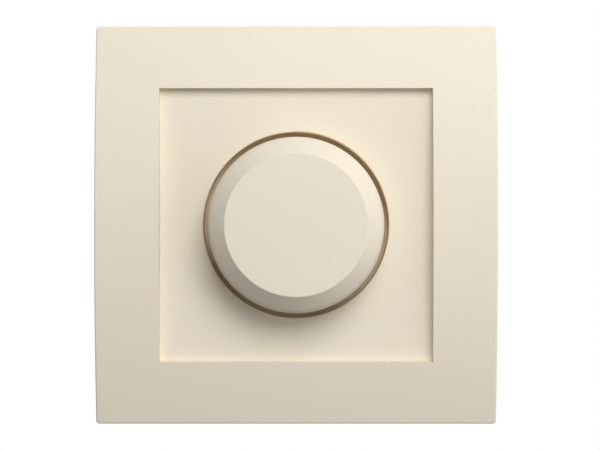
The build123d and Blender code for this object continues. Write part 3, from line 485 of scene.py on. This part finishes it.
def screw_tree():
    """A machine screw: rolled thread below, domed head with a slot or a cross above.

    The head's underside is at the place and the head points along the turned Z axis. A cross length
    equal to the slot's width leaves a single slot.
    """
    tree, given, out = tree_for("screw", {
        "Length": (FLOAT, 16.0 * MM), "Core Radius": (FLOAT, 1.1 * MM), "Thread Depth": (FLOAT, 0.3 * MM),
        "Pitch": (FLOAT, 0.6 * MM), "Plain Length": (FLOAT, 1.0 * MM), "Head Radius": (FLOAT, 2.4 * MM),
        "Head Height": (FLOAT, 1.6 * MM), "Slot Width": (FLOAT, 0.7 * MM), "Slot Length": (FLOAT, 6.0 * MM),
        "Cross Length": (FLOAT, 0.7 * MM), "Slot Depth": (FLOAT, 0.8 * MM), "Steps Around": (WHOLE, 25),
        "Steps Along": (WHOLE, 200), "Turn": (VECTOR, (0, 0, 0)),
    }, from_places=True)
    value = given.outputs

    def thread_radius(u, v):
        depth = math_node(tree, "MULTIPLY", v, value["Length"])
        phase = math_node(tree, "FRACT", math_node(
            tree, "ADD", math_node(tree, "DIVIDE", depth, value["Pitch"]), u))
        ridge = math_node(tree, "SUBTRACT", 1.0, math_node(
            tree, "ABSOLUTE", math_node(tree, "MULTIPLY_ADD", phase, 2.0, -1.0)))
        # Clamping the triangle wave gives the thread flat crests and roots.
        crest = math_node(tree, "MULTIPLY_ADD", ridge, 1.5, -0.25, clamp=True)
        # The thread fades in and out over one pitch at each end.
        from_head = math_node(tree, "DIVIDE", math_node(tree, "SUBTRACT", depth, value["Plain Length"]),
                              value["Pitch"], clamp=True)
        from_tip = math_node(tree, "DIVIDE", math_node(tree, "SUBTRACT", value["Length"], depth),
                             value["Pitch"], clamp=True)
        cut = math_node(tree, "MULTIPLY", from_head, from_tip)
        return math_node(tree, "MULTIPLY_ADD", math_node(tree, "MULTIPLY", crest, cut),
                         value["Thread Depth"], value["Core Radius"])

    def thread_height(u, v):
        return math_node(tree, "MULTIPLY", v, math_node(tree, "MULTIPLY", value["Length"], -1.0))

    thread = rolled_sheet(tree, value["Steps Around"], value["Steps Along"], thread_radius, thread_height)
    outward = node(tree, "GeometryNodeFlipFaces", {"Mesh": thread}).outputs[0]
    rim_steps = math_node(tree, "SUBTRACT", value["Steps Around"], 1)
    top = node(tree, "GeometryNodeMeshCircle", {"Vertices": rim_steps, "Radius": value["Core Radius"]},
               fill_type="NGON").outputs[0]
    drop = node(tree, "ShaderNodeCombineXYZ", {"Z": math_node(tree, "MULTIPLY", value["Length"], -1.0)})
    lowered = node(tree, "GeometryNodeTransform", {"Geometry": top, "Translation": drop.outputs[0]})
    tip = node(tree, "GeometryNodeFlipFaces", {"Mesh": lowered.outputs[0]}).outputs[0]
    shank = merged(tree, joined(tree, outward, top, tip))

    # The first twentieth of the sheet is the head's flat underside, the first half ends where the
    # dome starts, and the rest is the dome.
    def head_radius(u, v):
        upper = math_node(tree, "MULTIPLY_ADD", v, 2.0, -1.0, clamp=True)
        dome = math_node(tree, "SQRT", math_node(tree, "SUBTRACT", 1.0, math_node(
            tree, "POWER", upper, 3.0), clamp=True))
        lower = math_node(tree, "MULTIPLY", v, 20.0, clamp=True)
        return math_node(tree, "MULTIPLY", value["Head Radius"], math_node(tree, "MULTIPLY", dome, lower))

    def head_height(u, v):
        side = math_node(tree, "MULTIPLY", math_node(tree, "MULTIPLY_ADD", v, 2.0, -0.1, clamp=True),
                         HEAD_SIDE_SHARE / 0.9)
        crown = math_node(tree, "MULTIPLY", math_node(tree, "SQRT", math_node(
            tree, "MULTIPLY_ADD", v, 2.0, -1.0, clamp=True)), 1.0 - HEAD_SIDE_SHARE)
        level = math_node(tree, "ADD", math_node(tree, "MINIMUM", side, HEAD_SIDE_SHARE), crown)
        return math_node(tree, "MULTIPLY", value["Head Height"], level)

    head = merged(tree, rolled_sheet(tree, 49, 41, head_radius, head_height))
    cut_middle = math_node(tree, "SUBTRACT", value["Head Height"], math_node(
        tree, "MULTIPLY", value["Slot Depth"], 0.5))
    lifted = node(tree, "ShaderNodeCombineXYZ", {
        "Z": math_node(tree, "ADD", cut_middle, CUTTER_ABOVE_HEAD / 2)})
    deep = math_node(tree, "ADD", value["Slot Depth"], CUTTER_ABOVE_HEAD)
    for first, second in (("Slot Length", "Slot Width"), ("Slot Width", "Cross Length")):
        size = node(tree, "ShaderNodeCombineXYZ", {"X": value[first], "Y": value[second], "Z": deep})
        cutter = node(tree, "GeometryNodeMeshCube", {"Size": size.outputs[0]})
        placed = node(tree, "GeometryNodeTransform", {"Geometry": cutter.outputs[0],
                                                      "Translation": lifted.outputs[0]})
        head = node(tree, "GeometryNodeMeshBoolean", {"Mesh 1": head, "Mesh 2": placed.outputs[0]},
                    operation="DIFFERENCE", solver="EXACT").outputs[0]
    return close_tree(tree, given, out, at_places(tree, given, joined(tree, shank, head), value["Turn"]))


def rivet_tree():
    """Rivets with domed, dimpled heads at both ends, one on every place, laid along the turned Z axis.

    The place is the underside of the upper head, and the lower head lies the grip length below it.
    """
    tree, given, out = tree_for("rivets", {
        "Head Radius": (FLOAT, 1.9 * MM), "Head Height": (FLOAT, 0.7 * MM), "Dimple": (FLOAT, 0.25),
        "Shank Radius": (FLOAT, 1.25 * MM), "Grip": (FLOAT, 2.7 * MM), "Turn": (VECTOR, (0, 0, 0))},
        from_places=True)
    value = given.outputs

    def radius_of(u, v):
        return math_node(tree, "MULTIPLY", value["Head Radius"], math_node(
            tree, "SINE", math_node(tree, "MULTIPLY", v, math.pi)))

    def height_of(u, v):
        crown = math_node(tree, "MAXIMUM", math_node(tree, "MULTIPLY", math_node(
            tree, "COSINE", math_node(tree, "MULTIPLY", v, math.pi)), -1.0), 0.0)
        hollow = math_node(tree, "MULTIPLY", value["Dimple"], math_node(tree, "POWER", crown, 24.0))
        return math_node(tree, "MULTIPLY", value["Head Height"], math_node(
            tree, "SUBTRACT", math_node(tree, "POWER", crown, 0.8), hollow))

    upper = merged(tree, rolled_sheet(tree, 33, 33, radius_of, height_of))
    down = math_node(tree, "MULTIPLY", value["Grip"], -1.0)
    drop = node(tree, "ShaderNodeCombineXYZ", {"Z": down})
    lower = node(tree, "GeometryNodeTransform", {
        "Geometry": upper, "Translation": drop.outputs[0], "Rotation": (math.pi, 0.0, 0.0)}).outputs[0]
    halfway = node(tree, "ShaderNodeCombineXYZ", {"Z": math_node(tree, "MULTIPLY", down, 0.5)})
    rod = node(tree, "GeometryNodeMeshCylinder", {"Vertices": 32, "Radius": value["Shank Radius"],
                                                  "Depth": value["Grip"]}).outputs["Mesh"]
    shank = node(tree, "GeometryNodeTransform", {"Geometry": rod, "Translation": halfway.outputs[0]})
    rivet = joined(tree, upper, lower, shank.outputs[0])
    return close_tree(tree, given, out, at_places(tree, given, rivet, value["Turn"]))


def coil_tree():
    """A helical winding of round wire on every place, along the turned Z axis.

    It has a second layer where the inner radius is above zero.
    """
    tree, given, out = tree_for("coil", {
        "Turns": (FLOAT, 15.0), "Coil Radius": (FLOAT, 3.65 * MM), "Inner Radius": (FLOAT, 3.2 * MM),
        "Height": (FLOAT, 7.1 * MM), "Wire Radius": (FLOAT, 0.25 * MM), "Steps Per Turn": (WHOLE, 28),
        "Turn": (VECTOR, (0, 0, 0))}, from_places=True)
    value = given.outputs
    wire = node(tree, "GeometryNodeCurvePrimitiveCircle", {"Resolution": 10, "Radius": value["Wire Radius"]})
    layers = []
    for layer in ("Coil Radius", "Inner Radius"):
        helix = node(tree, "GeometryNodeCurveSpiral", {
            "Resolution": value["Steps Per Turn"], "Rotations": value["Turns"], "Start Radius": value[layer],
            "End Radius": value[layer], "Height": value["Height"]})
        layers.append(node(tree, "GeometryNodeCurveToMesh", {
            "Curve": helix.outputs[0], "Profile Curve": wire.outputs[0], "Fill Caps": True}).outputs[0])
    doubled = node(tree, "FunctionNodeCompare", {0: value["Inner Radius"], 1: 0.0}, data_type="FLOAT",
                   operation="GREATER_THAN")
    both = node(tree, "GeometryNodeSwitch", {"Switch": doubled.outputs[0], "False": layers[0],
                                             "True": joined(tree, *layers)}, input_type="GEOMETRY")
    return close_tree(tree, given, out, at_places(tree, given, both.outputs[0], value["Turn"]))


def knob_profile(tree, value):
    """Half of the knob's section as a line of (radius, height) points, with its corners rounded.

    It runs from the middle of the face, down the outside, up the inside and into the shaft's seat.
    """
    corners = (
        (None, "Front", None), ("Face Radius", "Front", "Rim Round"),
        ("Outer Radius", "Shoulder", "Shoulder Round"), ("Outer Radius", "Foot", "Rim Round"),
        ("Inner Radius", "Foot", None), ("Inner Radius", "Inner Shoulder", None),
        ("Inner Face", "Ceiling", None), ("Hub Radius", "Ceiling", None), ("Hub Radius", "Hub Foot", None),
        ("Seat Radius", "Hub Foot", None), ("Seat Radius", "Seat End", None), (None, "Seat End", None))
    index = node(tree, "GeometryNodeInputIndex").outputs[0]
    spots = node(tree, "GeometryNodeIndexSwitch", data_type="VECTOR")
    rounds = node(tree, "GeometryNodeIndexSwitch", data_type="FLOAT")
    for chooser in (spots, rounds):
        while len(chooser.index_switch_items) < len(corners):
            chooser.index_switch_items.new()
        tree.links.new(index, chooser.inputs[0])
    for step, (radius, height, rounding) in enumerate(corners):
        ends = {"Y": value[height]}
        if radius:
            ends["X"] = value[radius]
        spot = node(tree, "ShaderNodeCombineXYZ", ends)
        tree.links.new(spot.outputs[0], spots.inputs[step + 1])
        if rounding:
            tree.links.new(value[rounding], rounds.inputs[step + 1])
    line = node(tree, "GeometryNodeMeshLine", {"Count": len(corners)})
    bent = node(tree, "GeometryNodeSetPosition", {"Geometry": line.outputs[0], "Position": spots.outputs[0]})
    curve = node(tree, "GeometryNodeMeshToCurve", {0: bent.outputs[0]})
    filleted = node(tree, "GeometryNodeFilletCurve", {"Curve": curve.outputs[0], "Count": 8,
                                                      "Radius": rounds.outputs[0]}, mode="POLY")
    return node(tree, "GeometryNodeCurveToMesh", {"Curve": filleted.outputs[0]}).outputs[0]


def knob_ribs(tree, value):
    """Radial ribs under the face, from inside the hub's wall outwards."""
    from_seat = math_node(tree, "SUBTRACT", value["Rib Reach"], value["Seat Radius"])
    reach = math_node(tree, "SUBTRACT", from_seat, RIB_FROM_SEAT)
    standing = math_node(tree, "SUBTRACT", value["Ceiling"], value["Rib Foot"])
    tall = math_node(tree, "ADD", standing, RIB_IN_CEILING)
    size = node(tree, "ShaderNodeCombineXYZ", {"X": reach, "Y": value["Rib Thickness"], "Z": tall})
    block = node(tree, "GeometryNodeMeshCube", {"Size": size.outputs[0]}).outputs["Mesh"]
    out_by = math_node(tree, "SUBTRACT", value["Rib Reach"], math_node(tree, "MULTIPLY", reach, 0.5))
    up_by = math_node(tree, "ADD", value["Rib Foot"], math_node(tree, "MULTIPLY", tall, 0.5))
    aside = node(tree, "ShaderNodeCombineXYZ", {"X": out_by, "Z": up_by})
    rib = node(tree, "GeometryNodeTransform", {"Geometry": block, "Translation": aside.outputs[0]}).outputs[0]
    # A line with no offset puts one point for each rib on the axis.
    hubs = node(tree, "GeometryNodeMeshLine", {"Count": value["Ribs"], "Offset": (0.0, 0.0, 0.0)})
    points = node(tree, "GeometryNodeMeshToPoints", {"Mesh": hubs.outputs[0]})
    index = node(tree, "GeometryNodeInputIndex").outputs[0]
    turn = math_node(tree, "DIVIDE", math_node(tree, "MULTIPLY", index, 2 * math.pi), value["Ribs"])
    angles = node(tree, "ShaderNodeCombineXYZ", {"Z": turn})
    facing = node(tree, "FunctionNodeEulerToRotation", {0: angles.outputs[0]})
    return node(tree, "GeometryNodeInstanceOnPoints", {"Points": points.outputs[0], "Instance": rib,
                                                       "Rotation": facing.outputs[0]}).outputs[0]


def knob_tree():
    """A turned hollow knob: one profile swept round the axis, a flatted shaft seat and radial ribs."""
    millimetres = {
        "Face Radius": 14.3, "Front": 18.0, "Outer Radius": 17.75, "Shoulder": 14.78, "Foot": 5.0,
        "Inner Radius": 15.95, "Inner Shoulder": 12.8, "Inner Face": 13.0, "Ceiling": 15.8,
        "Hub Radius": 5.2, "Hub Foot": 8.2, "Seat Radius": 3.02, "Seat Flat": 1.52, "Seat End": 15.0,
        "Shoulder Round": 2.6, "Rim Round": 0.25, "Rib Reach": 12.9, "Rib Foot": 12.0, "Rib Thickness": 1.0}
    inputs = {label: (FLOAT, size * MM) for label, size in millimetres.items()}
    inputs.update({"Ribs": (WHOLE, 8), "Steps Around": (WHOLE, 257), "Turn": (VECTOR, (0, 0, 0))})
    tree, given, out = tree_for("turned_knob", inputs)
    value = given.outputs
    profile = knob_profile(tree, value)
    count = node(tree, "GeometryNodeAttributeDomainSize", {0: profile}).outputs["Point Count"]
    last = math_node(tree, "SUBTRACT", count, 1.0)

    def profile_at(v):
        step = math_node(tree, "ROUND", math_node(tree, "MULTIPLY", v, last))
        place = node(tree, "GeometryNodeInputPosition").outputs[0]
        found = node(tree, "GeometryNodeSampleIndex", {"Geometry": profile, "Value": place, "Index": step},
                     data_type="FLOAT_VECTOR", domain="POINT")
        return node(tree, "ShaderNodeSeparateXYZ", {0: found.outputs[0]})

    def radius_of(u, v):
        # The seat's wall is pulled in to its flat. The face's middle is as near the axis as the seat
        # is, so the ceiling's height tells them apart.
        spot = profile_at(v)
        near = math_node(tree, "LESS_THAN", spot.outputs["X"],
                         math_node(tree, "ADD", value["Seat Radius"], NEARLY))
        low = math_node(tree, "LESS_THAN", spot.outputs["Y"], value["Ceiling"])
        upward = math_node(tree, "MAXIMUM", math_node(tree, "SINE", math_node(
            tree, "MULTIPLY", u, 2 * math.pi)), 0.01)
        flat = math_node(tree, "DIVIDE", value["Seat Flat"], upward)
        cut = math_node(tree, "DIVIDE", math_node(tree, "MINIMUM", value["Seat Radius"], flat),
                        value["Seat Radius"])
        share = math_node(tree, "MULTIPLY", math_node(tree, "MULTIPLY", near, low),
                          math_node(tree, "SUBTRACT", cut, 1.0))
        return math_node(tree, "MULTIPLY", spot.outputs["X"], math_node(tree, "ADD", share, 1.0))

    def height_of(u, v):
        return profile_at(v).outputs["Y"]

    swept = rolled_sheet(tree, value["Steps Around"], count, radius_of, height_of)
    shell = node(tree, "GeometryNodeFlipFaces", {"Mesh": merged(tree, swept)}).outputs[0]
    whole = node(tree, "GeometryNodeTransform", {"Geometry": joined(tree, shell, knob_ribs(tree, value)),
                                                 "Rotation": value["Turn"]})
    return close_tree(tree, given, out, whole.outputs[0])


# ======== knob, screws, rivets, windings and solder ========

SCREW = screw_tree()
RIVET = rivet_tree()
COIL = coil_tree()
KNOB = knob_tree()
TO_ROOM = (math.pi / 2, 0.0, 0.0)
TO_WALL_BOX = (-math.pi / 2, 0.0, 0.0)
DOWN = (math.pi, 0.0, 0.0)


def middle(node_name):
    """Middle of a CAD node's box."""
    low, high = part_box(node_name)
    return [(a + b) / 2 for a, b in zip(low, high)]


def at_depth(y, pairs):
    """Places at one depth into the wall, from (x, z) pairs in millimetres."""
    return [(x * MM, y, z * MM) for x, z in pairs]


def make_knob():
    """The push and turn knob, with a bevelled front and a rounded shoulder."""
    low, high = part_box("knob")
    grow("knob_turned", KNOB, "cream_plastic", "knob_and_shaft", {
        "Outer Radius": (high[0] - low[0]) / 2, "Front": -low[1], "Foot": -high[1], "Turn": TO_ROOM},
        stands_for=("knob",))


def make_claw_screws():
    """Slotted screws that pull the claws outwards, heads towards the room."""
    for side in ("left", "right"):
        name = f"claw_screw_{side}"
        low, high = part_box(name)
        x, _, z = middle(name)
        head = 1.6 * MM
        grow(f"{name}_threaded", SCREW, "zinc_steel", name, {
            "Length": high[1] - low[1] - head, "Core Radius": 1.12 * MM, "Thread Depth": 0.33 * MM,
            "Pitch": 0.7 * MM, "Plain Length": 1.4 * MM, "Head Radius": 2.4 * MM, "Head Height": head,
            "Slot Width": 0.7 * MM, "Slot Length": 6.0 * MM, "Cross Length": 0.7 * MM,
            "Slot Depth": 0.8 * MM, "Steps Along": 230, "Turn": TO_ROOM},
            places=((x, low[1] + head, z),), stands_for=(name,))


def make_terminal_screws():
    """Slotted clamp screws whose heads face down."""
    for number in (1, 2, 3):
        name = f"terminal_screw_{number}"
        low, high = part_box(name)
        x, y, _ = middle(name)
        head = 1.4 * MM
        grow(f"{name}_threaded", SCREW, "zinc_steel", name, {
            "Length": high[2] - low[2] - head, "Core Radius": 1.08 * MM, "Thread Depth": 0.32 * MM,
            "Pitch": 0.5 * MM, "Plain Length": 0.3 * MM, "Head Radius": 2.2 * MM, "Head Height": head,
            "Slot Width": 0.7 * MM, "Slot Length": 6.0 * MM, "Cross Length": 0.7 * MM,
            "Slot Depth": 0.7 * MM, "Steps Along": 90, "Turn": DOWN},
            places=((x, y, low[2] + head),), stands_for=(name,))


def make_housing_screws():
    """Cross-recess screws that hold the two housing shells together."""
    low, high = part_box("housing_screws")
    head = 1.55 * MM
    seat = high[1] - head - 0.05 * MM
    grow("housing_screws_threaded", SCREW, "zinc_steel", "insert", {
        "Length": seat - low[1], "Core Radius": 0.74 * MM, "Thread Depth": 0.24 * MM, "Pitch": 0.8 * MM,
        "Plain Length": 1.0 * MM, "Head Radius": 2.0 * MM, "Head Height": head, "Slot Width": 0.6 * MM,
        "Slot Length": 2.4 * MM, "Cross Length": 2.4 * MM, "Slot Depth": 0.8 * MM, "Steps Along": 200,
        "Turn": TO_WALL_BOX}, places=at_depth(seat, HOUSING_SCREW_PLACES), stands_for=("housing_screws",))


def make_rivets():
    """Brass rivets that hold the front shell to the support frame."""
    low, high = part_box("housing_rivets")
    head = 0.7 * MM
    grow("housing_rivets_domed", RIVET, "brass", "insert", {
        "Head Radius": 1.9 * MM, "Head Height": head, "Shank Radius": 1.25 * MM,
        "Grip": high[1] - low[1] - 2 * head, "Turn": TO_ROOM},
        places=at_depth(low[1] + head, RIVET_PLACES), stands_for=("housing_rivets",))


def make_choke_winding():
    """Two layers of enamelled wire wound close together on the choke's bobbin."""
    low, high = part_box("choke_winding")
    x, y, z = middle("choke_winding")
    wire = 0.25 * MM
    outer = (high[0] - low[0]) / 2
    height = high[1] - low[1] - 2 * wire
    grow("choke_winding_turns", COIL, "enamelled_copper", "insert", {
        "Turns": height / (2.04 * wire), "Coil Radius": outer - wire, "Inner Radius": outer - 2.9 * wire,
        "Height": height, "Wire Radius": wire, "Turn": TO_WALL_BOX},
        places=((x, y - height / 2, z),), stands_for=("choke_winding",))


def make_plunger_springs():
    """Two coil springs between the switch plunger and its case, grown at one length; the real springs shorten
    as the knob goes in.
    """
    low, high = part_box("plunger_springs")
    wire = 0.17 * MM
    outer = (high[0] - low[0]) / 2
    reach = SWITCH_FLOOR - low[1]
    springs = grow("plunger_springs_coiled", COIL, "spring_steel", "insert", {
        "Turns": 3.5, "Coil Radius": outer - wire, "Inner Radius": 0.0, "Height": reach - 2 * wire,
        "Wire Radius": wire, "Turn": TO_WALL_BOX},
        places=[(0.0, low[1] + wire, z) for z in (low[2] + outer, high[2] - outer)],
        stands_for=("plunger_springs",))
    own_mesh(springs)


def make_solder():
    """Solder joints, domed on both faces of the circuit board."""
    low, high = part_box("circuit_board")
    grow("solder_joints", RIVET, "tinned_copper", "insert", {
        "Head Radius": 0.95 * MM, "Head Height": 0.75 * MM, "Dimple": 0.0, "Shank Radius": 0.4 * MM,
        "Grip": high[1] - low[1], "Turn": TO_WALL_BOX}, places=at_depth(high[1], SOLDER_PLACES))


make_knob()
make_claw_screws()
make_terminal_screws()
make_housing_screws()
make_rivets()
make_choke_winding()
make_plunger_springs()
make_solder()


# ======== floor, light and camera ========

def make_floor():
    """A pale round floor well below the object, which fades out before it ends."""
    angles = [2 * math.pi * k / FLOOR_CORNERS for k in range(FLOOR_CORNERS)]
    ring = [(FLOOR_RADIUS * math.cos(a), FLOOR_RADIUS * math.sin(a), FLOOR_HEIGHT) for a in angles]
    mesh = bpy.data.meshes.new("pale_floor")
    mesh.from_pydata(ring, [], [tuple(range(FLOOR_CORNERS))])
    floor = bpy.data.objects.new("pale_floor", mesh)
    bpy.context.collection.objects.link(floor)
    material, tree, shader = new_material("pale_floor")
    shader.inputs["Base Color"].default_value = (0.92, 0.92, 0.92, 1.0)
    shader.inputs["Roughness"].default_value = 0.9
    shader.inputs["Emission Color"].default_value = WHITE
    shader.inputs["Emission Strength"].default_value = FLOOR_GLOW
    floor.visible_diffuse = False
    floor.visible_glossy = False
    flat = node(tree, "ShaderNodeVectorMath", {0: object_place(tree), 1: (1, 1, 0)}, operation="MULTIPLY")
    length = node(tree, "ShaderNodeVectorMath", {0: flat.outputs[0]}, operation="LENGTH")
    fade = node(tree, "ShaderNodeMapRange", {
        "Value": length.outputs["Value"], "From Min": FLOOR_FADE_START, "From Max": FLOOR_RADIUS,
        "To Min": 1.0, "To Max": 0.0}, interpolation_type="SMOOTHSTEP")
    tree.links.new(fade.outputs["Result"], shader.inputs["Alpha"])
    mesh.materials.append(material)


def soft_box(name, place, size, power):
    """A square area light aimed at the middle of the object."""
    lamp = bpy.data.lights.new(name, "AREA")
    lamp.shape = "SQUARE"
    lamp.size = size
    lamp.energy = power
    holder = bpy.data.objects.new(name, lamp)
    holder.location = place
    holder.rotation_mode = "QUATERNION"
    holder.rotation_quaternion = (-holder.location.normalized()).to_track_quat("-Z", "Y")
    bpy.context.collection.objects.link(holder)


def make_light():
    """Four soft lights, with the main one at the upper right and one behind, and a white surround."""
    for name, place, size, power in SOFT_BOXES:
        soft_box(name, place, size, power)

    world = bpy.data.worlds.new("white_surround")
    world.use_nodes = True
    bpy.context.scene.world = world
    tree = world.node_tree
    seen = tree.nodes["Background"]
    seen.inputs["Color"].default_value = WHITE
    seen.inputs["Strength"].default_value = 1.0
    direction = node(tree, "ShaderNodeTexCoord").outputs["Generated"]
    height = node(tree, "ShaderNodeSeparateXYZ", {0: direction}).outputs["Z"]
    level = math_node(tree, "MULTIPLY_ADD", height, 0.5, 0.5)
    cast = node(tree, "ShaderNodeBackground", {
        "Color": WHITE, "Strength": span(tree, level, SKY_LIGHT_BELOW, SKY_LIGHT_ABOVE)})
    mirrored = node(tree, "ShaderNodeBackground", {"Color": WHITE, "Strength": MIRRORED_LIGHT})
    path = node(tree, "ShaderNodeLightPath").outputs
    last = cast.outputs[0]
    for ray, source in (("Is Glossy Ray", mirrored), ("Is Camera Ray", seen)):
        last = node(tree, "ShaderNodeMixShader", {0: path[ray], 1: last, 2: source.outputs[0]}).outputs[0]
    tree.links.new(last, tree.nodes["World Output"].inputs["Surface"])


def make_camera():
    """Looks straight at the wall from in front of the knob."""
    lens = bpy.data.cameras.new("camera")
    lens.lens = CAMERA_LENS
    lens.sensor_width = SENSOR_WIDTH
    lens.clip_start = 0.01
    camera = bpy.data.objects.new("camera", lens)
    camera.location = (OFF_CENTRE, -CAMERA_DISTANCE, 0.0)
    camera.rotation_euler = (math.pi / 2, 0.0, 0.0)
    bpy.context.collection.objects.link(camera)
    bpy.context.scene.camera = camera


make_floor()
make_light()
make_camera()
bpy.context.scene.view_settings.view_transform = "Standard"
